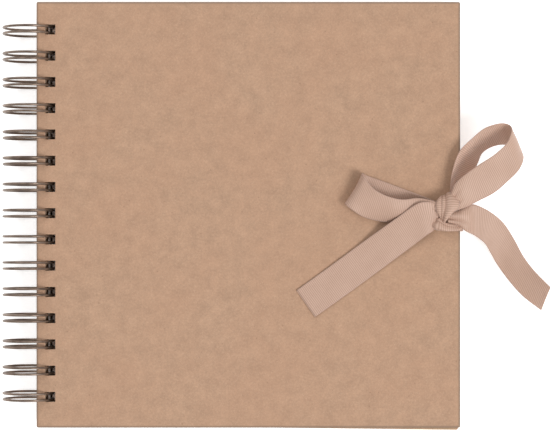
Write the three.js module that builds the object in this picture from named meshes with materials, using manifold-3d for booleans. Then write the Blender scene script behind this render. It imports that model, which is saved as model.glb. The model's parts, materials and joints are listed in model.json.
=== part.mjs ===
// Square scrapbook album, in millimetres with +Z up, lying closed on its back cover.
// Twenty card leaves between two kraft-faced boards turn on a twin-loop wire spine, and a
// grosgrain ribbon tied in a bow on the front cover keeps the album shut.
// X runs from the spine (-X) to the fore-edge (+X) and Y towards the head of the cover.
// The origin is the middle of the back cover's underside.
import * as THREE from 'three';
import { mergeVertices } from 'three/addons/utils/BufferGeometryUtils.js';
import Module from 'manifold-3d';

const wasm = await Module();
wasm.setup();

// Covers and leaves
const COVER_WIDTH = 205;
const COVER_HEIGHT = 206;
const PAPER = 0.3;
const BOARD = 1.8;
const COVER = BOARD + 2 * PAPER;
const LEAF_COUNT = 20;
const LEAF = 0.32;
const LEAF_PITCH = 0.43;
const LEAF_SETBACK = 1;
const STACK = 2 * COVER + LEAF_COUNT * LEAF_PITCH;
const SPINE_X = -COVER_WIDTH / 2;
const FORE_X = COVER_WIDTH / 2;

// Punched holes: one square hole for each loop of the wire
const LOOPS = 15;
const LOOP_PITCH = 12.7;
const ROW_SHIFT = 0.8;
const HOLE = 4.8;
const HOLE_INSET = 6.7;
const loopY = (loop) => ROW_SHIFT + (loop - (LOOPS - 1) / 2) * LOOP_PITCH;

// Twin-loop wire: its ring axis runs along Y, clear of the spine edges, at half the stack
const WIRE_RADIUS = 0.6;
const RING_RADIUS = 12.1;
const RING_X = SPINE_X - 4.6;
const RING_Z = STACK / 2;
const LEG_OFFSET = 1.5;
const SEAM_ANGLE = -57;
const SEAM_GAP = 2;
const CORNER_RADIUS = 1;
const LEG_STEPS = 15;
const WIRE_SIDES = 5;
const WIRE_STUB = 3;

// Ribbon
const RIBBON_WIDTH = 15.9;
const RIBBON = 0.4;
const RIBBON_Y = 0;
const RECESS_LENGTH = 38;
const RECESS_DEPTH = 0.5;
const RECESS_CLEARANCE = 0.05;
const ANCHOR_LENGTH = 36.5;
const BOW_THICKNESS = 0.6;
const LAP = 0.3;

const kraft = { color: 0xbe9c80, roughness: 0.9, metalness: 0 };
const greyBoard = { color: 0x9c968c, roughness: 0.95, metalness: 0 };
const bronze = { color: 0x7a6656, roughness: 0.35, metalness: 1 };
const grosgrain = { color: 0xc8a591, roughness: 0.75, metalness: 0 };

const album = new THREE.Group();

function addPart(name, geometry, finish) {
  const mesh = new THREE.Mesh(geometry, new THREE.MeshStandardMaterial(finish));
  mesh.name = name;
  album.add(mesh);
}

// A flat sheet with one square hole for each loop, its underside at height z
function punchedSheet(foreX, halfHeight, thickness, z) {
  const outline = new THREE.Shape();
  outline.moveTo(SPINE_X, -halfHeight);
  outline.lineTo(foreX, -halfHeight);
  outline.lineTo(foreX, halfHeight);
  outline.lineTo(SPINE_X, halfHeight);
  outline.closePath();
  const left = SPINE_X + HOLE_INSET - HOLE / 2;
  for (let loop = 0; loop < LOOPS; loop++) {
    const bottom = loopY(loop) - HOLE / 2;
    const hole = new THREE.Path();
    hole.moveTo(left, bottom);
    hole.lineTo(left, bottom + HOLE);
    hole.lineTo(left + HOLE, bottom + HOLE);
    hole.lineTo(left + HOLE, bottom);
    hole.closePath();
    outline.holes.push(hole);
  }
  const sheet = new THREE.ExtrudeGeometry(outline, { depth: thickness, bevelEnabled: false });
  return sheet.translate(0, 0, z);
}

function coverSheet(thickness, z) {
  return punchedSheet(FORE_X, COVER_HEIGHT / 2, thickness, z);
}

function toSolid(geometry) {
  const plain = geometry.clone();
  plain.deleteAttribute('normal');
  plain.deleteAttribute('uv');
  const merged = mergeVertices(plain);
  const vertProperties = new Float32Array(merged.attributes.position.array);
  const triVerts = new Uint32Array(merged.index.array);
  return new wasm.Manifold(new wasm.Mesh({ numProp: 3, vertProperties, triVerts }));
}

function toGeometry(solid) {
  const { vertProperties, triVerts } = solid.getMesh();
  const geometry = new THREE.BufferGeometry();
  geometry.setAttribute('position', new THREE.BufferAttribute(vertProperties, 3));
  geometry.setIndex(new THREE.BufferAttribute(triVerts, 1));
  return geometry;
}

// A cover board with a shallow recess, open at the fore-edge, for the glued end of a ribbon
function recessedBoard(z, recessZ) {
  const recess = new THREE.BoxGeometry(2 * RECESS_LENGTH, RIBBON_WIDTH + 2 * LAP, 2 * RECESS_DEPTH);
  recess.translate(FORE_X, RIBBON_Y, recessZ);
  return toGeometry(toSolid(coverSheet(BOARD, z)).subtract(toSolid(recess)));
}

// A ribbon whose outline is drawn in the XZ plane and carried across its width
function flatRibbon(points) {
  const outline = new THREE.Shape(points.map(([x, z]) => new THREE.Vector2(x, z)));
  const ribbon = new THREE.ExtrudeGeometry(outline, { depth: RIBBON_WIDTH, bevelEnabled: false });
  return ribbon.rotateX(Math.PI / 2).translate(0, RIBBON_Y + RIBBON_WIDTH / 2, 0);
}

// A ribbon strip between two rails. Each station gives the first rail's x, y and height over
// the cover, then the second rail's, and smooth curves join them.
function railedRibbon(stations, stepsPerStation) {
  const rail = (first) => new THREE.CatmullRomCurve3(
    stations.map((s) => new THREE.Vector3(s[first], s[first + 1], STACK + s[first + 2])));
  const [railA, railB] = [rail(0), rail(3)];
  const steps = (stations.length - 1) * stepsPerStation;
  const corners = [];
  for (let i = 0; i <= steps; i++) {
    const a = railA.getPoint(i / steps);
    const b = railB.getPoint(i / steps);
    const along = railA.getTangent(i / steps).add(railB.getTangent(i / steps));
    const up = along.cross(b.clone().sub(a)).setLength(BOW_THICKNESS / 2);
    corners.push(a.clone().add(up), b.clone().add(up), b.clone().sub(up), a.clone().sub(up));
  }
  const faces = [0, 1, 2, 0, 2, 3];
  for (let i = 0; i < steps; i++) {
    for (let side = 0; side < 4; side++) {
      const here = 4 * i + side;
      const next = 4 * i + (side + 1) % 4;
      faces.push(here, here + 4, next + 4, here, next + 4, next);
    }
  }
  const last = 4 * steps;
  faces.push(last, last + 2, last + 1, last, last + 3, last + 2);
  const geometry = new THREE.BufferGeometry().setFromPoints(corners);
  geometry.setIndex(faces);
  return geometry;
}

// A curve that steps through listed points and is straight between them
class Route extends THREE.Curve {
  constructor(points) {
    super();
    this.points = points;
  }

  getPointAt(u, target = new THREE.Vector3()) {
    return target.copy(this.points[Math.round(u * (this.points.length - 1))]);
  }

  getTangentAt(u, target = new THREE.Vector3()) {
    const here = Math.round(u * (this.points.length - 1));
    const before = this.points[Math.max(here - 1, 0)];
    const after = this.points[Math.min(here + 1, this.points.length - 1)];
    const back = this.points[here].clone().sub(before).normalize();
    const ahead = after.clone().sub(this.points[here]).normalize();
    return target.copy(back).add(ahead).normalize();
  }
}

// One continuous wire. Each loop goes up one leg, round its tip and down the other leg, and a
// short bridge along the seam leads to the next. The path is laid out flat as arc length round
// the ring against y, then wrapped round it.
function wireRoute() {
  const flat = [];
  const turn = (arcLength, y, radius, from, to, steps) => {
    for (let i = 0; i <= steps; i++) {
      const angle = THREE.MathUtils.degToRad(from + (to - from) * i / steps);
      flat.push([arcLength + radius * Math.sin(angle), y + radius * Math.cos(angle)]);
    }
  };
  const tip = 2 * Math.PI * RING_RADIUS - SEAM_GAP - LEG_OFFSET;
  const legLength = tip - CORNER_RADIUS;
  const leg = (y, from, to) => {
    for (let i = 1; i < LEG_STEPS; i++) {
      flat.push([from + (to - from) * i / LEG_STEPS, y]);
    }
  };
  flat.push([0, loopY(0) - LEG_OFFSET - WIRE_STUB]);
  for (let loop = 0; loop < LOOPS; loop++) {
    const y = loopY(loop);
    turn(CORNER_RADIUS, y - LEG_OFFSET - CORNER_RADIUS, CORNER_RADIUS, -90, 0, 2);
    leg(y - LEG_OFFSET, CORNER_RADIUS, CORNER_RADIUS + legLength);
    turn(tip, y, LEG_OFFSET, 180, 0, 4);
    leg(y + LEG_OFFSET, CORNER_RADIUS + legLength, CORNER_RADIUS);
    turn(CORNER_RADIUS, y + LEG_OFFSET + CORNER_RADIUS, CORNER_RADIUS, 180, 270, 2);
  }
  flat.push([0, loopY(LOOPS - 1) + LEG_OFFSET + WIRE_STUB]);
  return flat.map(([arcLength, y]) => {
    const angle = THREE.MathUtils.degToRad(SEAM_ANGLE) + arcLength / RING_RADIUS;
    return new THREE.Vector3(
      RING_X + RING_RADIUS * Math.cos(angle), y, RING_Z + RING_RADIUS * Math.sin(angle));
  });
}

function bindingWire() {
  const section = new THREE.Shape();
  for (let side = 0; side < WIRE_SIDES; side++) {
    const angle = 2 * Math.PI * side / WIRE_SIDES;
    const corner = [WIRE_RADIUS * Math.cos(angle), WIRE_RADIUS * Math.sin(angle)];
    if (side === 0) section.moveTo(...corner);
    else section.lineTo(...corner);
  }
  section.closePath();
  const points = wireRoute();
  return new THREE.ExtrudeGeometry(section, {
    steps: points.length - 1, extrudePath: new Route(points),
  });
}

// Back cover, from the outside in
addPart('back_facing', coverSheet(PAPER, 0), kraft);
addPart('back_board', recessedBoard(PAPER, PAPER + BOARD), greyBoard);
addPart('back_lining', coverSheet(PAPER, PAPER + BOARD), kraft);

// Leaves, numbered from the front cover down
for (let number = 1; number <= LEAF_COUNT; number++) {
  const z = COVER + (LEAF_COUNT - number) * LEAF_PITCH + (LEAF_PITCH - LEAF) / 2;
  const sheet = punchedSheet(FORE_X - LEAF_SETBACK, COVER_HEIGHT / 2 - LEAF_SETBACK, LEAF, z);
  addPart(`leaf_${String(number).padStart(2, '0')}`, sheet, kraft);
}

// Front cover, from the inside out
const frontZ = STACK - COVER;
addPart('front_lining', coverSheet(PAPER, frontZ), kraft);
addPart('front_board', recessedBoard(frontZ + PAPER, frontZ + PAPER), greyBoard);
addPart('front_facing', coverSheet(PAPER, STACK - PAPER), kraft);

addPart('binding_wire', bindingWire(), bronze);

// Back ribbon's glued end, which comes out at the fore-edge of the back cover
const backRibbonZ = COVER - PAPER - RECESS_CLEARANCE - RIBBON;
const anchorX = FORE_X - ANCHOR_LENGTH;
const backAnchorEnd = FORE_X + RIBBON + LAP;
addPart('ribbon_back_anchor', flatRibbon([
  [anchorX, backRibbonZ],
  [backAnchorEnd, backRibbonZ],
  [backAnchorEnd, backRibbonZ + RIBBON],
  [anchorX, backRibbonZ + RIBBON],
]), grosgrain);

// Front ribbon, from its glued end round the fore-edge of the front cover to the knot
const frontRibbonZ = frontZ + PAPER + RECESS_CLEARANCE;
const frontWrapX = FORE_X + RIBBON;
const frontLapZ = STACK + LAP;
const frontLapX = FORE_X - 3.9;
addPart('ribbon_front_run', flatRibbon([
  [anchorX, frontRibbonZ],
  [frontWrapX + RIBBON, frontRibbonZ],
  [frontWrapX + RIBBON, frontLapZ + RIBBON],
  [frontLapX, frontLapZ + RIBBON],
  [frontLapX, frontLapZ],
  [frontWrapX, frontLapZ],
  [frontWrapX, frontRibbonZ + RIBBON],
  [anchorX, frontRibbonZ + RIBBON],
]), grosgrain);

// Back ribbon's run, from just over the back cover up past the leaves and over the front ribbon
const backWrapX = frontWrapX + RIBBON + LAP;
const backLapZ = frontLapZ + RIBBON + LAP;
const backLapX = FORE_X - 2.5;
const backRunFoot = COVER;
addPart('ribbon_back_run', flatRibbon([
  [backWrapX, backRunFoot],
  [backWrapX + RIBBON, backRunFoot],
  [backWrapX + RIBBON, backLapZ + RIBBON],
  [backLapX, backLapZ + RIBBON],
  [backLapX, backLapZ],
  [backWrapX, backLapZ],
]), grosgrain);

// Knot, a flattened lump drawn tight at the fore-edge of the front cover
const knot = new THREE.SphereGeometry(1, 14, 10).scale(4.6, 8, 4.4);
addPart('bow_knot', knot.translate(95.4, 1.2, STACK + 4.9), grosgrain);

// Left loop, from the knot out along the cover and back over itself
addPart('bow_left_loop', railedRibbon([
  [90.4, 6.5, 1.6, 90.4, -1, 1.2],
  [82, 9.8, 1.6, 80, -2.5, 0.8],
  [73, 13.2, 1.4, 68, -1, 0.8],
  [64, 16.6, 1.3, 58.5, 1.9, 0.8],
  [57.5, 18.9, 1.8, 50.5, 4.8, 1],
  [55, 19.9, 5.2, 46.4, 6.6, 4.2],
  [56.2, 18.4, 8.8, 49.2, 4.4, 6.8],
  [60.5, 13.4, 9.6, 55.5, -0.6, 5],
  [67, 9.4, 9.4, 63.8, -3, 2.8],
  [74, 7.8, 8.4, 72, -3.5, 2],
  [82, 7.9, 6.8, 81, -2, 2.6],
  [90.4, 6.3, 5.6, 90.4, -0.5, 3.6],
], 2), grosgrain);

// Right loop, from the knot out past the fore-edge on its side and back over itself
addPart('bow_right_loop', railedRibbon([
  [97, 10.4, 5, 101.6, 5.6, 3.4],
  [98, 19.4, 6.5, 106.8, 15.5, -2.5],
  [101.5, 30, 7.5, 111.3, 25, -4.2],
  [108.2, 37, 7.5, 113.8, 30.2, -5.4],
  [113.3, 41.2, 7, 119, 33.4, -5.4],
  [118.3, 43.3, 6, 125, 34.2, -5],
  [122.8, 44, 4.6, 129.6, 32.2, -3],
  [126, 42.8, 5.6, 132, 28.9, 0.8],
  [126.3, 39.8, 9.2, 131.6, 26, 4.6],
  [123.6, 34, 11.6, 129.4, 20.8, 6.6],
  [117.6, 28.4, 12.2, 125, 17.2, 5],
  [111, 23.4, 11.5, 118.3, 10.9, 5],
  [104.8, 19.2, 10.2, 110, 5.6, 4.6],
  [100.2, 14.4, 8.8, 105, 3.4, 5],
  [98.6, 9.8, 8, 102.2, 3.2, 6],
], 2), grosgrain);

// Left tail, from its square-cut end on the cover up to the knot
addPart('bow_left_tail', railedRibbon([
  [23.2, -36.6, 0.6, 32.4, -49.5, 0.6],
  [39.6, -25.1, 0.7, 48.8, -38, 0.6],
  [55.9, -13.6, 1.4, 65.1, -26.5, 0.8],
  [70.6, -3.2, 4.6, 79.6, -16.1, 1.6],
  [80.3, 4, 7.4, 86.3, -10.3, 3.2],
  [86, 5.6, 7.7, 89, -7.6, 4.2],
  [90.2, 4.3, 6.9, 90.4, -4.5, 4.6],
], 2), grosgrain);

// Right tail, from the knot over the fore-edge and down to its slanted end beside the album
addPart('bow_right_tail', railedRibbon([
  [100.6, 2, 3.2, 101, -5, 2.6],
  [104.8, 4.2, 2.9, 104.8, -7.8, 2.3],
  [109, 4.9, 2.6, 109.8, -10.2, -1],
  [116.6, 1.6, 1, 114.6, -13.8, -2.5],
  [123.6, -3.9, -2, 117.8, -18.6, -5.5],
  [128.9, -11.4, -4.5, 121.4, -24.2, -9],
  [133.8, -20.2, -5.5, 127.8, -32.6, -11],
  [139.2, -27.4, -4.6, 134.6, -39.9, -11.6],
  [146.6, -35.2, -2.4, 143.2, -46.6, -11.3],
], 2), grosgrain);

export default album;
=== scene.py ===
import json
import math
import random

import bpy
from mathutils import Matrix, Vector, noise


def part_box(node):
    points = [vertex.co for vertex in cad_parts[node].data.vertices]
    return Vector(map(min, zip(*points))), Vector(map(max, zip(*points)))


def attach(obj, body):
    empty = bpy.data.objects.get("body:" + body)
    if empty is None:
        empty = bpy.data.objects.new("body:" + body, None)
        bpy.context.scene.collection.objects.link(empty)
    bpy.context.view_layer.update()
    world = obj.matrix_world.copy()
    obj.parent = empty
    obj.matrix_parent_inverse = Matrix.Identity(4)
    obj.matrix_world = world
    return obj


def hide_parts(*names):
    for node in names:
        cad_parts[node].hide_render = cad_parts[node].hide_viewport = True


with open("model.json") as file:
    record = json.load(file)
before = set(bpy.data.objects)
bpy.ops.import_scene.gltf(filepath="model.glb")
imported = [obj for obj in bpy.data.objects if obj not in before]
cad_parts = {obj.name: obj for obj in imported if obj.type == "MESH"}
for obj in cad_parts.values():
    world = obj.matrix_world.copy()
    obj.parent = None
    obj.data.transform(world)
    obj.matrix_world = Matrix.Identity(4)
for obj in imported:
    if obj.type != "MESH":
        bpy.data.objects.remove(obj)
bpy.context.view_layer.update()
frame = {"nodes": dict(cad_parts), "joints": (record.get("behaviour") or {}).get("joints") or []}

MM = 0.001

# ---------------------------------------------------------------- sizes taken from the frame

COVER_LOW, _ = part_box("back_facing")
_, COVER_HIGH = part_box("front_facing")
COVER_TOP = COVER_HIGH.z
WIRE_LOW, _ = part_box("binding_wire")
LEAF_NODES = sorted(name for name in frame["nodes"] if name.startswith("leaf_"))

HINGE = next(joint for joint in frame["joints"] if joint["name"] == "front_cover_turn")
RING_AXIS = Vector(HINGE["pos_m"])

# The row of square holes, one for each loop of the wire
LOOPS = 15
LOOP_PITCH = 12.7 * MM
ROW_SHIFT = 0.8 * MM
HOLE = 4.8 * MM
HOLE_INSET = 6.7 * MM
LOOP_YS = [ROW_SHIFT + (loop - (LOOPS - 1) / 2) * LOOP_PITCH for loop in range(LOOPS)]

# Twin-loop wire
WIRE_RADIUS = 0.6 * MM
RING_RADIUS = 12.1 * MM
LEG_OFFSET = 1.5 * MM
CORNER_RADIUS = 1.0 * MM
WIRE_SIDES = 12
RING_STEPS = 64
WIRE_WELD = 0.02 * MM
SEAM_ANGLE = math.radians(-57)
SEAM_GAP = 2.0 * MM

# Ribbon
RIBBON_WIDTH = 15.9 * MM
RIBBON_THICKNESS = 0.32 * MM
RIB_PITCH = 0.9 * MM
RIBBON_Y = 0.0
RIBBON_COLUMNS = 32
PLEAT_LIMIT = 2.6 * MM              # the tallest pleat
ARCH_LIMIT = 1.5 * MM               # the most that a narrowed strip bows up
FLUTTER = 0.15 * MM                 # how uneven the cloth lies everywhere
ALL_ALONG = 200 * MM                # a gather that runs through the whole piece

FRONT = "front_cover"
BACK = "back_cover"
CREASE_ANGLE = math.radians(50)     # what turns more sharply than this counts as an edge


# ---------------------------------------------------------------- camera

def make_camera():
    """Looks straight down from a metre above the front cover."""
    height = 1.0
    frame_width = 266.1 * MM
    aim_y = -0.1 * MM
    stand = Vector((12.9 * MM, -14.7 * MM, COVER_TOP + height))
    data = bpy.data.cameras.new("camera")
    data.sensor_width = 36
    data.lens = data.sensor_width * height / frame_width
    data.shift_y = (aim_y - stand.y) / frame_width
    data.clip_end = 10
    camera = bpy.data.objects.new("camera", data)
    camera.location = stand
    bpy.context.collection.objects.link(camera)
    bpy.context.scene.camera = camera


# ---------------------------------------------------------------- materials

class Value:
    """What varies over a surface, held by a socket. Sums on a number add Math nodes."""

    def __init__(self, finish, socket):
        self.finish = finish
        self.socket = socket

    def math(self, operation, first, second):
        sockets = {0: first, 1: second}
        return self.finish.node("ShaderNodeMath", {"operation": operation}, sockets)[0]

    def __add__(self, other):
        return self.math("ADD", self, other)

    __radd__ = __add__

    def __sub__(self, other):
        return self.math("SUBTRACT", self, other)

    def __rsub__(self, other):
        return self.math("SUBTRACT", other, self)

    def __mul__(self, other):
        return self.math("MULTIPLY", self, other)

    __rmul__ = __mul__

    def above(self, edge):
        """1 where the value is over the edge, and 0 elsewhere."""
        return self.math("GREATER_THAN", self, edge)

    def absolute(self):
        return self.math("ABSOLUTE", self, 0)

    def sine(self):
        return self.math("SINE", self, 0)

    def greater(self, other):
        """The larger of the two values."""
        return self.math("MAXIMUM", self, other)


class Finish:
    """One material: its Principled shader and the nodes that vary it."""

    def __init__(self, name, roughness, specular=0.5, metallic=0.0):
        self.material = bpy.data.materials.new(name)
        self.material.use_nodes = True
        self.tree = self.material.node_tree
        self.shader = self.tree.nodes["Principled BSDF"]
        self.shader.inputs["Roughness"].default_value = roughness
        self.shader.inputs["Specular IOR Level"].default_value = specular
        self.shader.inputs["Metallic"].default_value = metallic

    def node(self, kind, settings, sockets):
        """Adds a node, makes its settings, then sets or links its input sockets."""
        made = self.tree.nodes.new(kind)
        for key, setting in settings.items():
            if key == "stops":
                for element, (position, level) in zip(made.color_ramp.elements, setting):
                    element.position = position
                    element.color = (level, level, level, 1.0)
            else:
                setattr(made, key, setting)
        for key, value in sockets.items():
            self.feed(made.inputs[key], value)
        return [Value(self, output) for output in made.outputs]

    def feed(self, socket, value):
        if isinstance(value, Value):
            self.tree.links.new(value.socket, socket)
        else:
            socket.default_value = value

    def place(self):
        """The surface's place in the album's own frame."""
        object_output = 3
        return self.node("ShaderNodeTexCoord", {}, {})[object_output]

    def parts(self, place):
        """The X, Y and Z of a place."""
        return self.node("ShaderNodeSeparateXYZ", {}, {0: place})

    def stretched(self, place, scale, turn=0.0):
        """Turns the pattern about Z, then lengthens it by the scale along its own axes."""
        sockets = {"Vector": place, "Scale": scale, "Rotation": (0.0, 0.0, turn)}
        return self.node("ShaderNodeMapping", {"vector_type": "TEXTURE"}, sockets)[0]

    def cloud(self, place, size, detail=2.0, roughness=0.5):
        """Noise from 0 to 1 whose spots are about size across."""
        settings = {"noise_type": "FBM", "normalize": True}
        sockets = {"Vector": place, "Scale": 1 / size, "Detail": detail, "Roughness": roughness}
        return self.node("ShaderNodeTexNoise", settings, sockets)[0]

    def ramp(self, value, stops):
        """Passes the value through two stops, each a place and its level."""
        return self.node("ShaderNodeValToRGB", {"stops": stops}, {0: value})[0]

    def blend(self, factor, first, second):
        """The first colour where the factor is 0 and the second where it is 1."""
        colour_a, colour_b, colour_output = 6, 7, 2
        settings = {"data_type": "RGBA", "blend_type": "MIX", "clamp_factor": True}
        sockets = {0: factor, colour_a: first, colour_b: second}
        return self.node("ShaderNodeMix", settings, sockets)[colour_output]

    def bump(self, height, distance, strength=1.0):
        sockets = {"Height": height, "Distance": distance, "Strength": strength}
        self.feed(self.shader.inputs["Normal"], self.node("ShaderNodeBump", {}, sockets)[0])

    def colour(self, value):
        self.feed(self.shader.inputs["Base Color"], value)

    def roughness(self, value):
        self.feed(self.shader.inputs["Roughness"], value)


def paint(red, green, blue):
    """A screen colour from 0 to 255 as the linear colour that a shader takes."""
    def linear(level):
        share = level / 255
        return share / 12.92 if share <= 0.04045 else ((share + 0.055) / 1.055) ** 2.4
    return (linear(red), linear(green), linear(blue), 1.0)


def felt(finish, place, lean, rarity):
    """Short fibres that lie four ways over one another: 1 on a fibre and 0 between them."""
    strand, width = (1.0, 6.0, 1.0), 0.24 * MM
    fibres = finish.cloud(finish.stretched(place, strand, lean), width, 1.0)
    for turn in (0.8, 1.7, 2.5):
        lie = finish.stretched(place, strand, lean + turn)
        fibres = fibres.greater(finish.cloud(lie, width, 1.0))
    return finish.ramp(fibres, [(rarity, 0.0), (rarity + 0.09, 1.0)])


def painted_rim_shade(finish, place, grain):
    """Painted shade where the covers' edges round off: 1 at the rim of the covers, and 0 a little
    way in.
    """
    reach, raggedness = 1.3 * MM, 0.5 * MM
    x, y, _ = finish.parts(place)
    beyond = (x.absolute() - COVER_HIGH.x).greater(y.absolute() - COVER_HIGH.y)
    wear_and_rim_shade = (beyond + reach + grain * raggedness) * (1 / reach)
    return finish.ramp(wear_and_rim_shade, [(0.25, 0.0), (0.95, 1.0)])


def kraft_paper(name, shade, fibre_share, rim_shade=0.0):
    """Unbleached kraft: soft blotches, a fine felt of light and dark fibres, and a few specks.

    shade is the paper's mean colour from 0 to 255, fibre_share is how strongly the fibres show,
    and rim_shade is how strongly painted shade greys the rounded rim of the sheet.
    """
    finish = Finish(name, 0.85, specular=0.25)
    place = finish.place()
    light = paint(*(level * 1.06 for level in shade))
    dark = paint(*(level * 0.935 for level in shade))
    warm = paint(shade[0] * 1.02, shade[1] * 0.965, shade[2] * 0.94)
    blotches = finish.cloud(place, 7 * MM, 3.0, roughness=0.6)
    grain = finish.cloud(place, 1.1 * MM, 5.0, roughness=0.7)
    drift = finish.cloud(place, 26 * MM, 2.0)
    paper = finish.blend(finish.ramp(blotches * 0.45 + grain * 0.55, [(0.36, 0.0), (0.64, 1.0)]),
                         dark, light)
    paper = finish.blend(finish.ramp(drift, [(0.35, 0.0), (0.65, 1.0)]) * 0.22, paper, warm)
    pale_fibre, brown_fibre = paint(222, 194, 168), paint(143, 108, 84)
    pale_felt = felt(finish, place, lean=0.4, rarity=0.645)
    paper = finish.blend(pale_felt * fibre_share, paper, pale_fibre)
    brown_felt = felt(finish, place, lean=1.25, rarity=0.655)
    paper = finish.blend(brown_felt * fibre_share, paper, brown_fibre)
    speck_spacing, speck_brown = 6 * MM, paint(122, 88, 64)
    specks = finish.node("ShaderNodeTexVoronoi", {"feature": "F1"},
                         {"Vector": place, "Scale": 1 / speck_spacing})[0]
    paper = finish.blend(finish.ramp(specks, [(0.03, 1.0), (0.07, 0.0)]) * 0.4, paper, speck_brown)
    # Painted shade: the rim of the sheet is greyed where its rounded edge turns away from the
    # light.
    if rim_shade:
        paper = finish.blend(painted_rim_shade(finish, place, grain) * rim_shade, paper, paint(128, 110, 96))
    finish.colour(paper)
    finish.roughness(0.78 + grain * 0.14)
    finish.bump(grain * 0.7 + blotches * 0.3, 0.06 * MM, 0.6)
    return finish.material


def pressed_board():
    """Grey board with the layers of its pressing showing on the cut edges."""
    finish = Finish("grey_board", 0.95, specular=0.2)
    place = finish.place()
    layers = finish.cloud(finish.stretched(place, (12.0, 12.0, 0.6)), 0.3 * MM, 3.0)
    fluff = finish.cloud(place, 0.35 * MM, 3.0)
    tone = finish.ramp(layers * 0.6 + fluff * 0.4, [(0.3, 0.0), (0.7, 1.0)])
    dark_grey, light_grey = paint(112, 104, 94), paint(172, 164, 152)
    finish.colour(finish.blend(tone, dark_grey, light_grey))
    finish.bump(layers * 0.5 + fluff * 0.5, 0.08 * MM, 0.8)
    return finish.material


def bronze_wire():
    """Bronze-lacquered steel wire, with faint draw marks and thin spots in the lacquer."""
    finish = Finish("bronze_wire", 0.3, metallic=0.85)
    finish.shader.inputs["Coat Weight"].default_value = 0.1
    finish.shader.inputs["Coat Roughness"].default_value = 0.3
    place = finish.place()
    patches = finish.cloud(place, 5 * MM, 3.0)
    marks = finish.cloud(finish.stretched(place, (1.0, 0.3, 1.0)), 0.3 * MM, 2.0)
    wear_and_rim_shade = finish.ramp(patches * 0.7 + marks * 0.3, [(0.35, 0.0), (0.68, 1.0)])
    lacquered, thin_lacquer = paint(106, 89, 78), paint(152, 134, 120)
    finish.colour(finish.blend(wear_and_rim_shade, lacquered, thin_lacquer))
    finish.roughness(0.3 + marks * 0.2)
    finish.bump(marks, 0.01 * MM, 0.4)
    return finish.material


def grosgrain():
    """Grosgrain: fine cross ribs with painted shade in their grooves, warp threads over them, and
    bound edges.
    """
    thread_pitch, selvage_width = 0.4 * MM, 0.6 * MM
    finish = Finish("grosgrain", 0.5, specular=0.45)
    finish.shader.inputs["Sheen Weight"].default_value = 0.35
    finish.shader.inputs["Sheen Roughness"].default_value = 0.35
    weave = finish.node("ShaderNodeUVMap", {"uv_map": "lengthwise"}, {})[0]
    length, across, _ = finish.parts(weave)
    wander = finish.cloud(weave, 6 * MM, 2.0)
    ribs_and_groove_shade = ((length * (1 / RIB_PITCH) + wander * 0.4) * (2 * math.pi)).sine() * 0.5 + 0.5
    threads = (across * (2 * math.pi / thread_pitch)).sine() * 0.5 + 0.5
    selvage = (across - RIBBON_WIDTH / 2).absolute().above(RIBBON_WIDTH / 2 - selvage_width)
    fuzz = finish.cloud(weave, 0.5 * MM, 3.0)
    shine = finish.cloud(weave, 9 * MM, 2.0)
    # The rib wave darkens the colour in the grooves between ribs as painted shade, and shine adds a
    # painted sheen.
    tone = ribs_and_groove_shade * 0.5 + threads * 0.05 + fuzz * 0.25 + shine * 0.2
    cloth = finish.blend(finish.ramp(tone, [(0.15, 0.0), (0.85, 1.0)]), paint(171, 137, 118),
                         paint(207, 174, 155))
    cloth = finish.blend(selvage * 0.5, cloth, paint(184, 152, 136))
    finish.colour(cloth)
    finish.roughness(0.42 + fuzz * 0.2)
    finish.bump(ribs_and_groove_shade * (1 - selvage * 0.7) + threads * 0.15, 0.07 * MM, 0.6)
    return finish.material


def table_top():
    """A white light table whose glow stops where the album lies on it."""
    finish = Finish("table_top", 0.9, specular=0.1)
    place = finish.place()
    tone = finish.cloud(place, 0.4, 2.0)
    finish.colour(finish.blend(tone, (0.92, 0.92, 0.92, 1), (0.95, 0.95, 0.95, 1)))
    x, y, _ = finish.parts(place)
    overlap = 2 * MM
    past_side = x.absolute().above(COVER_HIGH.x - overlap)
    beside = past_side.greater(y.absolute().above(COVER_HIGH.y - overlap))
    glow = finish.blend(beside, (0.0, 0.0, 0.0, 1), (1.0, 1.0, 1.0, 1))
    finish.feed(finish.shader.inputs["Emission Color"], glow)
    finish.shader.inputs["Emission Strength"].default_value = 0.55
    return finish.material


# ---------------------------------------------------------------- shared modelling steps

def deselect():
    bpy.ops.object.select_all(action="DESELECT")


def edit():
    bpy.ops.object.mode_set(mode="EDIT")


def leave_edit():
    bpy.ops.object.mode_set(mode="OBJECT")


def activate(piece):
    deselect()
    piece.select_set(True)
    bpy.context.view_layer.objects.active = piece


def settle(piece, name, finish):
    """Puts a piece's place into its mesh and gives it its name and material."""
    activate(piece)
    bpy.ops.object.transform_apply(location=True, rotation=True, scale=True)
    piece.name = name
    piece.data.name = name
    piece.data.materials.clear()
    piece.data.materials.append(finish)


def apply_modifiers(piece):
    activate(piece)
    for modifier in list(piece.modifiers):
        bpy.ops.object.modifier_apply(modifier=modifier.name)


def select_faces(piece, wanted):
    """In edit mode: selects the faces whose centre passes the test."""
    bpy.ops.mesh.select_mode(type="FACE")
    bpy.ops.mesh.select_all(action="DESELECT")
    leave_edit()
    for face in piece.data.polygons:
        face.select = wanted(face)
    edit()


def select_corners(piece, wanted):
    """In edit mode: selects the vertices whose place passes the test."""
    bpy.ops.mesh.select_mode(type="VERT")
    bpy.ops.mesh.select_all(action="DESELECT")
    leave_edit()
    for vertex in piece.data.vertices:
        vertex.select = wanted(vertex.co)
    edit()


def select_edges(piece, wanted):
    """In edit mode: selects the edges whose two ends pass the test together."""
    bpy.ops.mesh.select_mode(type="EDGE")
    bpy.ops.mesh.select_all(action="DESELECT")
    leave_edit()
    places = [vertex.co for vertex in piece.data.vertices]
    for edge in piece.data.edges:
        edge.select = wanted(places[edge.vertices[0]], places[edge.vertices[1]])
    edit()


def near(value, target, tolerance=1e-5):
    return abs(value - target) < tolerance


# ---------------------------------------------------------------- covers and leaves

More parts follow.
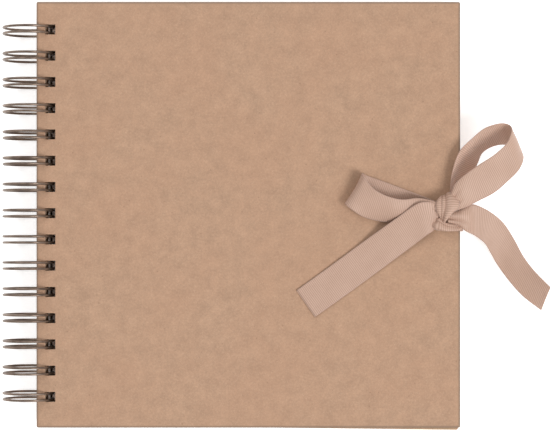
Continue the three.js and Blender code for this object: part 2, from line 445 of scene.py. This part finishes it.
def punched_blank(low, high):
    """A flat sheet at height 0 between two corners, with the row of square holes cut out."""
    deselect()
    middle = (low + high) / 2
    bpy.ops.mesh.primitive_plane_add(size=1, location=(middle.x, middle.y, 0))
    sheet = bpy.context.object
    sheet.scale = (high.x - low.x, high.y - low.y, 1)
    bpy.ops.object.transform_apply(location=True, rotation=True, scale=True)
    edit()
    hole_left = COVER_LOW.x + HOLE_INSET - HOLE / 2
    cuts = [((x, 0, 0), (1, 0, 0)) for x in (hole_left, hole_left + HOLE)]
    for y in LOOP_YS:
        cuts += [((0, y + side * HOLE / 2, 0), (0, 1, 0)) for side in (-1, 1)]
    for place, normal in cuts:
        bpy.ops.mesh.select_all(action="SELECT")
        bpy.ops.mesh.bisect(plane_co=place, plane_no=normal)

    def in_hole(face):
        x, y, _ = face.center
        return (hole_left < x < hole_left + HOLE
                and any(abs(y - hole_y) < HOLE / 2 for hole_y in LOOP_YS))
    select_faces(sheet, in_hole)
    bpy.ops.mesh.delete(type="FACE")
    leave_edit()
    return sheet


def copy_of(piece):
    twin = piece.copy()
    twin.data = piece.data.copy()
    bpy.context.collection.objects.link(twin)
    return twin


def thicken(sheet, z_low, z_high, corner, rim):
    """Raises a blank to a sheet between two heights, rounds its corners and eases its edges."""
    activate(sheet)
    edit()
    bpy.ops.mesh.select_mode(type="FACE")
    bpy.ops.mesh.select_all(action="SELECT")
    bpy.ops.transform.translate(value=(0, 0, z_low))
    bpy.ops.mesh.extrude_region_move(TRANSFORM_OT_translate={"value": (0, 0, z_high - z_low)})
    bpy.ops.mesh.select_all(action="SELECT")
    bpy.ops.mesh.normals_make_consistent(inside=False)
    xs = [vertex.co.x for vertex in sheet.data.vertices]
    ys = [vertex.co.y for vertex in sheet.data.vertices]
    x_ends, y_ends = (min(xs), max(xs)), (min(ys), max(ys))

    def at_corner(a, b):
        upright = near(a.x, b.x) and near(a.y, b.y)
        return upright and any(near(a.x, x) for x in x_ends) and any(near(a.y, y) for y in y_ends)
    select_edges(sheet, at_corner)
    bpy.ops.mesh.bevel(offset=corner, segments=4, affect="EDGES")
    leave_edit()
    bevel = sheet.modifiers.new("eased edges", "BEVEL")
    bevel.width = rim
    bevel.segments = 2
    bevel.limit_method = "ANGLE"
    bevel.angle_limit = CREASE_ANGLE
    apply_modifiers(sheet)


def make_covers(finishes):
    """Each cover is three sheets: the facing paper, the board, and the lining paper."""
    blank = punched_blank(COVER_LOW, COVER_HIGH)
    corner = 0.8 * MM
    rims = {"facing": 0.13 * MM, "board": 0.05 * MM, "lining": 0.1 * MM}
    for side, body in (("front", FRONT), ("back", BACK)):
        for layer, rim in rims.items():
            node = f"{side}_{layer}"
            low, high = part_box(node)
            sheet = copy_of(blank)
            thicken(sheet, low.z, high.z, corner, rim)
            paper = layer != "board"
            settle(sheet, f"{node}_sheet", finishes["kraft"] if paper else finishes["board"])
            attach(sheet, body)
            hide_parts(node)
    bpy.data.objects.remove(blank)


def make_leaves(finishes):
    """Twenty card leaves, each a hair askew of its neighbours at the fore-edge.

    The nearer a leaf is to the front cover, the further it has slipped towards the tail edge.
    """
    low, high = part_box(LEAF_NODES[0])
    blank = punched_blank(low, high)
    corner, rim = 0.3 * MM, 0.05 * MM
    askew_x, askew_y, most_slip = (-0.35 * MM, 0.25 * MM), (-0.9 * MM, 0.1 * MM), 2.3 * MM
    draw = random.Random(8)
    for depth, node in enumerate(LEAF_NODES):
        low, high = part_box(node)
        leaf = copy_of(blank)
        slip = most_slip * (1 - depth / len(LEAF_NODES)) ** 3
        skew = (draw.uniform(*askew_x), draw.uniform(*askew_y) - slip, 0)
        activate(leaf)
        edit()
        select_corners(leaf, lambda place: near(place.x, high.x))
        bpy.ops.transform.translate(value=skew)
        leave_edit()
        thicken(leaf, low.z, high.z, corner, rim)
        settle(leaf, f"{node}_sheet", finishes["card"])
        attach(leaf, node)
        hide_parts(node)
    bpy.data.objects.remove(blank)


# ---------------------------------------------------------------- wire

def ring_point(angle, y):
    return Vector((RING_AXIS.x + RING_RADIUS * math.cos(angle), y,
                   RING_AXIS.z + RING_RADIUS * math.sin(angle)))


def spin_leg(first_y):
    """One leg of the first hairpin loop: half a bridge, its corner, the ring and half the tip."""
    start = SEAM_ANGLE + CORNER_RADIUS / RING_RADIUS
    tip = SEAM_ANGLE + 2 * math.pi - (SEAM_GAP + LEG_OFFSET) / RING_RADIUS
    leg_y = first_y - LEG_OFFSET
    corner_centre = ring_point(start, leg_y - CORNER_RADIUS)
    outward = (corner_centre - Vector((RING_AXIS.x, corner_centre.y, RING_AXIS.z))).normalized()
    along = Vector((-outward.z, 0, outward.x))
    seam = corner_centre - along * CORNER_RADIUS
    bridge_length = LOOP_PITCH / 2 - LEG_OFFSET - CORNER_RADIUS

    deselect()
    bpy.ops.mesh.primitive_circle_add(vertices=WIRE_SIDES, radius=WIRE_RADIUS,
                                      rotation=(math.pi / 2, 0, 0),
                                      location=seam - Vector((0, bridge_length, 0)))
    wire = bpy.context.object
    bpy.ops.object.transform_apply(location=True, rotation=True, scale=True)
    edit()
    bpy.ops.mesh.select_all(action="SELECT")
    bpy.ops.mesh.extrude_region_move(TRANSFORM_OT_translate={"value": (0, bridge_length, 0)})
    bpy.ops.mesh.spin(steps=6, angle=-math.pi / 2, center=corner_centre, axis=outward)
    ring_centre = (RING_AXIS.x, leg_y, RING_AXIS.z)
    bpy.ops.mesh.spin(steps=RING_STEPS, angle=start - tip, center=ring_centre, axis=(0, 1, 0))
    tip_centre = ring_point(tip, first_y)
    tip_out = (math.cos(tip), 0, math.sin(tip))
    bpy.ops.mesh.spin(steps=8, angle=math.pi / 2, center=tip_centre, axis=tip_out)
    leave_edit()
    return wire


def make_wire(finish):
    """The leg is mirrored into a loop, the loop repeated down the spine, and the ends capped."""
    first_y = LOOP_YS[0]
    wire = spin_leg(first_y)
    bpy.context.scene.cursor.location = (0, first_y, 0)
    activate(wire)
    bpy.ops.object.origin_set(type="ORIGIN_CURSOR")
    mirror = wire.modifiers.new("other leg", "MIRROR")
    mirror.use_axis = (False, True, False)
    mirror.merge_threshold = WIRE_WELD
    row = wire.modifiers.new("row of loops", "ARRAY")
    row.count = LOOPS
    row.use_relative_offset = False
    row.use_constant_offset = True
    row.constant_offset_displace = (0, LOOP_PITCH, 0)
    row.use_merge_vertices = True
    row.merge_threshold = WIRE_WELD
    apply_modifiers(wire)
    edit()
    bpy.ops.mesh.select_all(action="SELECT")
    bpy.ops.mesh.remove_doubles(threshold=WIRE_WELD / 4)
    bpy.ops.mesh.select_all(action="DESELECT")
    bpy.ops.mesh.select_mode(type="VERT")
    bpy.ops.mesh.select_non_manifold()
    bpy.ops.mesh.edge_face_add()
    bpy.ops.mesh.select_all(action="SELECT")
    bpy.ops.mesh.normals_make_consistent(inside=False)
    leave_edit()
    settle(wire, "twin_loop_wire", finish)
    bpy.ops.object.shade_smooth_by_angle(angle=CREASE_ANGLE)
    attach(wire, BACK)
    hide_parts("binding_wire")
    bpy.context.scene.cursor.location = (0, 0, 0)


# ---------------------------------------------------------------- ribbon

def rail_point(points, share):
    """A point on the smooth curve through the points, at a share from 0 to 1 of its stations."""
    place = share * (len(points) - 1)
    index = min(int(place), len(points) - 2)
    t = place - index
    p1, p2 = points[index], points[index + 1]
    p0 = points[index - 1] if index else p1 * 2 - p2
    p3 = points[index + 2] if index + 2 < len(points) else p2 * 2 - p1
    return 0.5 * (2 * p1 + (p2 - p0) * t + (2 * p0 - 5 * p1 + 4 * p2 - p3) * t ** 2
                  + (3 * p1 - p0 - 3 * p2 + p3) * t ** 3)


def over_cover(stations):
    """Two rails from stations in millimetres, with heights counted from the front cover's top."""
    lift = Vector((0, 0, COVER_TOP))
    first = [Vector(station[:3]) * MM + lift for station in stations]
    second = [Vector(station[3:]) * MM + lift for station in stations]
    return first, second


def roll(s, folds):
    """The height of the rolls between creases: round on top and sharp at each crease."""
    for low, high in zip(folds, folds[1:]):
        if s <= high:
            wide = high - low
            return math.sin(math.pi * (s - low) / wide) ** 0.65 * wide ** 0.7
    return 0.0


def ease(share):
    """0 to 1 with a soft start and a soft end."""
    share = min(max(share, 0.0), 1.0)
    return share * share * (3 - 2 * share)


def ribbon_grid(rails, rows, gathered, folds, bulge, outside, seed):
    """The strip's points from rail to rail, row by row, with their places on the flat ribbon."""
    ripples_along, ripples_across, seed_stride = 60, 2.5, 7.3
    crease_wander = 0.05
    first, second = rails
    spans = [(rail_point(first, i / rows), rail_point(second, i / rows)) for i in range(rows + 1)]
    runs = [0.0]
    for (a, b), (c, d) in zip(spans, spans[1:]):
        runs.append(runs[-1] + ((c + d) / 2 - (a + b) / 2).length)
    points, flat_places = [], []
    for i, (a, b) in enumerate(spans):
        before, after = spans[max(i - 2, 0)], spans[min(i + 2, rows)]
        along = after[0] + after[1] - before[0] - before[1]
        up = (b - a).cross(along).normalized() * outside
        # Where the rails are closer than the ribbon's width, pleats and the arch take up the rest
        chord = (b - a).length
        slack = math.sqrt(max(RIBBON_WIDTH ** 2 - chord ** 2, 0.0))
        ends = zip(gathered, (runs[i], runs[-1] - runs[i]))
        pull = ease(max([1 - distance / reach for reach, distance in ends if reach], default=0.0))
        pleat = min(slack / 5, PLEAT_LIMIT) * pull
        arch = min((RIBBON_WIDTH - chord) * 0.6, ARCH_LIMIT) * (1 - pull * 0.7) * bulge
        for j in range(RIBBON_COLUMNS + 1):
            s = j / RIBBON_COLUMNS
            drift = noise.noise(Vector((runs[i] * ripples_along, s * ripples_across,
                                        seed * seed_stride)))
            lift = pleat * roll(min(max(s + crease_wander * drift, 0.0), 1.0), folds)
            lift += arch * math.sin(math.pi * s) + FLUTTER * drift
            points.append(a.lerp(b, s) + up * lift)
            flat_places.append((runs[i], s * RIBBON_WIDTH))
    return points, flat_places, runs[-1]


def ribbon_strip(name, rails, finish, gathered=(0.0, 0.0), folds=(0.0, 0.3, 0.65, 1.0),
                 bulge=1.0, outside=1, seed=1, steps=14):
    """A ribbon between two rails. Near a gathered end it pleats lengthwise; elsewhere it arches.

    gathered gives how far the pleats run from the start and from the end, folds gives the
    creases across the ribbon from 0 to 1, bulge scales the arch, outside is the side that the
    pleats stand on, and steps is how many rows lie between two stations.
    """
    rows = (len(rails[0]) - 1) * steps
    points, flat_places, run = ribbon_grid(rails, rows, gathered, folds, bulge, outside, seed)
    across = RIBBON_COLUMNS + 1
    corners = [i * across + j for i in range(rows) for j in range(RIBBON_COLUMNS)]
    faces = [(corner, corner + across, corner + across + 1, corner + 1) for corner in corners]
    mesh = bpy.data.meshes.new(name)
    mesh.from_pydata([tuple(point) for point in points], [], faces)
    layer = mesh.uv_layers.new(name="lengthwise")
    for loop in mesh.loops:
        layer.data[loop.index].uv = flat_places[loop.vertex_index]
    piece = bpy.data.objects.new(name, mesh)
    bpy.context.collection.objects.link(piece)
    body = piece.modifiers.new("woven thickness", "SOLIDIFY")
    body.thickness = RIBBON_THICKNESS
    body.offset = 0
    apply_modifiers(piece)
    settle(piece, name, finish)
    bpy.ops.object.shade_smooth()
    return piece, run


def add_ribbon(name, node, rails, finish, held, rests_on, body=FRONT, width=RIBBON_WIDTH, **shape):
    """Makes a strip, attaches it to its body and hides the frame's part that it stands for. held
    and rests_on are not used.
    """
    piece, run = ribbon_strip(name, rails, finish, **shape)
    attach(piece, body)
    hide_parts(node)


def make_bow(finish):
    """Two loops and two tails. Each starts or ends inside the knot, pleated where it is gripped."""
    knot = "bow_knot"
    left_loop = over_cover([
        (95.5, 5.0, 3.6, 95.5, -2.0, 3.0),
        (90.4, 6.5, 1.8, 90.4, -1.0, 1.4),
        (82, 9.8, 1.6, 80, -2.5, 0.8),
        (73, 13.2, 1.4, 68, -1.0, 0.7),
        (64, 16.6, 1.3, 58.5, 1.9, 0.7),
        (57.5, 18.9, 1.8, 50.9, 4.0, 1.0),
        (55.0, 19.9, 5.2, 46.6, 5.3, 4.2),
        (56.0, 17.6, 8.8, 49.2, 2.8, 6.8),
        (60.2, 12.4, 9.6, 55.5, -1.1, 5.0),
        (66.8, 8.8, 9.4, 63.8, -3.1, 2.8),
        (74, 7.2, 8.4, 72, -3.6, 2.0),
        (82, 7.9, 6.8, 81, -2.0, 2.6),
        (90.4, 6.3, 5.8, 90.4, -0.5, 4.2),
        (95.5, 5.2, 5.6, 95.5, -1.5, 5.0)])
    add_ribbon("bow_left_loop_ribbon", "bow_left_loop", left_loop, finish, "folded",
               ["front_facing", knot], gathered=(16 * MM, 22 * MM), seed=1)

    right_loop = over_cover([
        (94.5, 5.0, 3.8, 97.5, 0.0, 3.2),
        (97.0, 10.4, 4.2, 101.6, 5.6, 3.4),
        (98.0, 19.4, 5.0, 106.8, 15.5, -0.6),
        (101.5, 30.0, 5.2, 111.3, 25.0, -4.2),
        (108.2, 37.0, 5.8, 113.8, 30.2, -5.4),
        (113.3, 41.2, 6.0, 119.0, 33.4, -5.4),
        (118.3, 43.3, 5.6, 125.0, 34.2, -5.0),
        (122.8, 44.0, 4.6, 129.6, 32.2, -3.0),
        (126.0, 42.8, 5.6, 132.5, 29.6, 0.8),
        (126.3, 39.8, 9.2, 132.4, 26.2, 4.6),
        (123.6, 34.0, 11.6, 130.0, 21.4, 6.6),
        (117.6, 28.4, 12.2, 125.0, 16.2, 5.2),
        (111.0, 24.1, 11.5, 118.3, 10.5, 5.0),
        (104.9, 19.8, 10.2, 109.7, 6.1, 4.6),
        (100.0, 15.6, 8.2, 105.2, 3.8, 5.0),
        (97.8, 11.2, 6.2, 102.0, 2.6, 4.8),
        (96.6, 6.2, 4.6, 98.6, 1.2, 4.2)])
    add_ribbon("bow_right_loop_ribbon", "bow_right_loop", right_loop, finish, "folded", [knot],
               gathered=(12 * MM, 14 * MM), outside=-1, seed=2)

    left_tail = over_cover([
        (23.2, -36.6, 0.5, 32.2, -49.5, 0.5),
        (39.6, -24.8, 0.7, 48.9, -37.6, 0.6),
        (55.9, -12.8, 1.4, 65.2, -25.6, 0.8),
        (70.6, -2.2, 5.7, 79.5, -14.9, 1.8),
        (80.3, 4.7, 8.5, 86.0, -9.9, 3.6),
        (86.0, 6.1, 8.2, 88.6, -8.2, 3.4),
        (90.4, 5.2, 6.2, 90.4, -6.4, 2.6),
        (94.6, 3.4, 4.6, 94.6, -3.0, 2.6)])
    add_ribbon("bow_left_tail_ribbon", "bow_left_tail", left_tail, finish, "laid",
               ["front_facing", knot], gathered=(0.0, 6 * MM), bulge=0.5, seed=3)

    right_tail = over_cover([
        (95.5, 2.0, 3.6, 96.0, -4.0, 3.2),
        (100.6, 2.0, 3.2, 101.0, -5.0, 2.6),
        (104.8, 4.2, 2.9, 104.8, -7.8, 2.3),
        (109.0, 4.9, 2.6, 109.8, -10.2, -1.0),
        (116.6, 1.6, 1.0, 114.6, -13.8, -2.5),
        (123.6, -3.9, -2.0, 117.8, -18.6, -5.5),
        (128.9, -11.4, -4.5, 121.4, -24.2, -9.0),
        (133.8, -20.2, -5.5, 127.8, -32.6, -11.0),
        (139.2, -27.4, -4.6, 134.6, -39.9, -11.6),
        (146.6, -35.2, -2.4, 143.2, -46.6, -11.3)])
    add_ribbon("bow_right_tail_ribbon", "bow_right_tail", right_tail, finish, "hung", [knot],
               gathered=(20 * MM, 0.0), folds=(0.0, 0.62, 1.0), seed=4)


def make_knot(finish):
    """The band drawn once round the gathered ribbons, and the fold tucked below it."""
    band = over_cover([
        (95.0, 4.0, 0.8, 98.0, 4.0, 0.8),
        (93.8, 6.6, 1.2, 98.6, 7.0, 1.4),
        (92.9, 7.9, 3.4, 98.8, 8.4, 3.4),
        (91.6, 7.4, 5.4, 100.0, 7.9, 5.4),
        (90.6, 6.2, 6.6, 101.2, 6.6, 6.6),
        (90.2, 4.4, 7.0, 101.4, 4.8, 7.2),
        (90.3, 2.4, 7.0, 100.4, 2.8, 7.2),
        (90.9, 0.8, 6.6, 98.4, 1.0, 6.8),
        (91.9, -0.7, 5.8, 96.6, -0.9, 6.0),
        (92.9, -1.6, 4.4, 95.4, -2.0, 4.6),
        (93.2, -1.4, 2.6, 95.2, -1.8, 2.6),
        (93.8, 0.4, 1.2, 95.6, 0.4, 1.2)])
    add_ribbon("bow_knot_band", "bow_knot", band, finish, "gathered", ["front_facing"],
               gathered=(ALL_ALONG, 0.0), folds=(0.0, 0.2, 0.4, 1.0), bulge=1.6, outside=-1,
               seed=5, steps=8)

    tuck = over_cover([
        (93.2, -0.6, 1.6, 93.2, -5.4, 1.0),
        (92.2, -1.0, 2.0, 91.4, -5.8, 1.0),
        (91.7, -1.6, 4.4, 90.6, -6.6, 1.8),
        (92.4, -1.8, 5.6, 91.8, -7.3, 2.2),
        (95.0, -3.8, 5.0, 94.8, -7.0, 2.2),
        (98.4, -4.6, 3.8, 98.2, -6.4, 2.0),
        (101.0, -4.6, 2.0, 100.9, -5.9, 1.0),
        (102.8, -3.8, 0.6, 102.8, -4.9, 0.2)])
    width_outside = 10 * MM
    add_ribbon("bow_knot_tuck", "bow_knot", tuck, finish, "gathered", ["front_facing"],
               width=width_outside, gathered=(ALL_ALONG, 0.0), folds=(0.0, 0.2, 1.0), bulge=1.6,
               seed=9, steps=8)


def make_ribbon_ends(finish):
    """The two glued ends and their runs round the fore-edge."""
    fore = COVER_HIGH.x
    half = RIBBON_WIDTH / 2
    half_thick = RIBBON_THICKNESS / 2

    def level_rails(profile):
        """Rails for a ribbon that keeps its full width, from X and Z along its middle."""
        return tuple([Vector((x, RIBBON_Y + side * half, z)) for x, z in profile]
                     for side in (1, -1))

    low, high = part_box("ribbon_back_anchor")
    middle_z = (low.z + high.z) / 2
    spans = 6
    anchor = [(low.x + (high.x - low.x) * step / spans, middle_z) for step in range(spans + 1)]
    add_ribbon("back_ribbon_end", "ribbon_back_anchor", level_rails(anchor), finish, "laid",
               ["back_board"], body=BACK, seed=6)

    low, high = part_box("ribbon_front_run")
    wrap_x = high.x - half_thick
    top = COVER_TOP + 0.5 * MM
    middle_z = low.z + half_thick
    front_run = [
        (low.x, middle_z), ((low.x + fore) / 2, middle_z), (fore - 2 * MM, middle_z),
        (fore + 0.2 * MM, middle_z + 0.05 * MM), (wrap_x, middle_z + 1.2 * MM),
        (wrap_x, top - 0.9 * MM), (fore - 0.2 * MM, top), (fore - 3.6 * MM, top + 0.1 * MM)]
    add_ribbon("front_ribbon_run", "ribbon_front_run", level_rails(front_run), finish, "folded",
               ["front_board"], seed=7)

    low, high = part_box("ribbon_back_run")
    wrap_x = high.x - half_thick
    top = COVER_TOP + 1.15 * MM
    back_run = [
        (wrap_x - 0.1 * MM, low.z), (wrap_x, low.z + 3 * MM), (wrap_x, low.z + 7 * MM),
        (wrap_x - 0.05 * MM, top - 1.2 * MM), (fore + 0.3 * MM, top),
        (fore - 2.6 * MM, top + 0.3 * MM)]
    add_ribbon("back_ribbon_run", "ribbon_back_run", level_rails(back_run), finish, "folded",
               ["front_facing"], seed=8)


# ---------------------------------------------------------------- table and light

def make_table(finish):
    """A pale table that the wire's rings and the back cover's fore-edge both touch."""
    deselect()
    table_width = 6.0
    slope = math.atan2(COVER_LOW.z - WIRE_LOW.z, COVER_HIGH.x - RING_AXIS.x)
    clearance = 0.05 * MM
    bpy.ops.mesh.primitive_plane_add(size=table_width, location=(COVER_HIGH.x, 0, -clearance),
                                     rotation=(0, -slope, 0))
    table = bpy.context.object
    settle(table, "table", finish)


def lamp(name, place, aim, size, power):
    """A square soft light of a size in metres and a power in watts, turned to its aim."""
    data = bpy.data.lights.new(name, "AREA")
    data.shape = "SQUARE"
    data.size = size
    data.energy = power
    light = bpy.data.objects.new(name, data)
    light.location = place
    light.rotation_euler = (Vector(aim) - Vector(place)).to_track_quat("-Z", "Y").to_euler()
    bpy.context.collection.objects.link(light)


def make_light():
    """An even white room, a soft key light from the fore-edge and a weak fill across from it."""
    world = bpy.data.worlds.new("studio")
    world.use_nodes = True
    room = world.node_tree.nodes["Background"]
    room.inputs["Color"].default_value = (1.0, 1.0, 1.0, 1)
    room.inputs["Strength"].default_value = 0.52
    bpy.context.scene.world = world
    lamp("key", place=(1.55, -1.0, 2.2), aim=(0.05, 0, 0), size=1.0, power=44.0)
    lamp("fill", place=(-0.8, 0.7, 1.3), aim=(0, 0, 0), size=1.2, power=7.0)
    view = bpy.context.scene.view_settings
    view.view_transform = "Standard"
    view.look = "None"
    view.exposure = 0.0
    view.gamma = 1.0


# ---------------------------------------------------------------- the album

paper_finishes = {
    # The cover paper's rim is greyed with painted shade.
    "kraft": kraft_paper("kraft_cover_paper", (183, 148.5, 123), 0.22, rim_shade=0.75),
    "card": kraft_paper("kraft_card", (190, 158, 130), 0.2),
    "board": pressed_board(),
}
ribbon_finish = grosgrain()

make_camera()
make_covers(paper_finishes)
make_leaves(paper_finishes)
make_wire(bronze_wire())
make_bow(ribbon_finish)
make_knot(ribbon_finish)
make_ribbon_ends(ribbon_finish)
make_table(table_top())
make_light()
